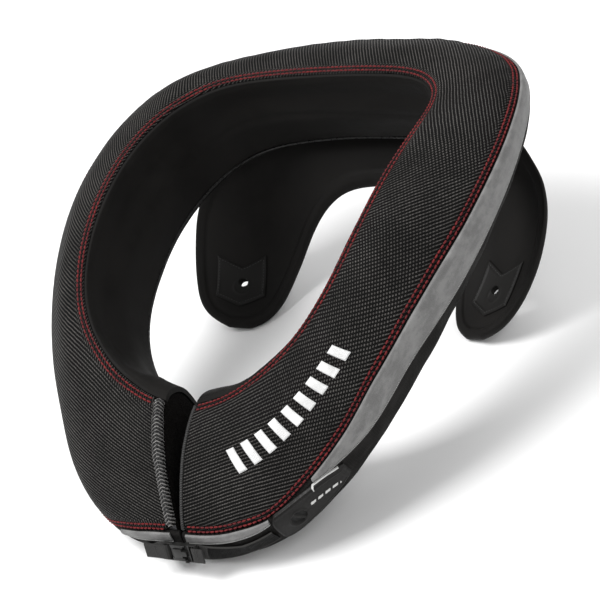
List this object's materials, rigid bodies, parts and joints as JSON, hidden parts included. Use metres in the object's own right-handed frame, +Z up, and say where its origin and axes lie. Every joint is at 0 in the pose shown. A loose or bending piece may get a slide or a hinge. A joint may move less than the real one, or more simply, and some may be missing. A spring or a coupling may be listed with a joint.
{
  "type": "padded motocross neck collar",
  "caption": "Padded neck collar, open at the throat with a small side-release buckle, and a rear yoke with spread tongues; worn round the neck over a rider's shoulders.",
  "frame": {"origin": "centre of the bounding box, at the level of the floor that the collar stands on", "axes": "+X the wearer's left, -Y the chest and the throat's opening, +Z up; the collar is tipped forward about X as it rests"},
  "size_m": [0.218, 0.2458, 0.1156],
  "materials": {
    "foam": "closed-cell foam core",
    "nylon": "black coarse-woven nylon, padded",
    "neoprene": "smooth black neoprene, cloth faced",
    "base_fabric": "charcoal knitted cloth",
    "fleece": "black brushed fleece",
    "reflective": "silver-grey reflective cloth",
    "binding": "black braided cord, slightly glossy",
    "patch_rubber": "black moulded rubber",
    "plastic": "black moulded acetal",
    "webbing": "charcoal woven webbing",
    "tab_rubber": "grey moulded rubber"
  },
  "bodies": {
    "root": {"padding": "foam", "top_cover": "nylon", "inner_wall": "neoprene", "base_cover": "base_fabric", "end_panel_left": "fleece", "end_panel_right": "fleece", "front_strip_left": "reflective", "front_strip_right": "reflective", "side_strip_left": "reflective", "side_strip_right": "reflective", "end_binding": "binding", "end_piping": "base_fabric", "yoke": "neoprene", "patch_left": "patch_rubber", "patch_right": "patch_rubber", "buckle_socket": "plastic", "buckle_plug": "plastic", "strap_left": "webbing", "strap_right": "webbing", "strap_tab": "tab_rubber"}
  },
  "joints": []
}
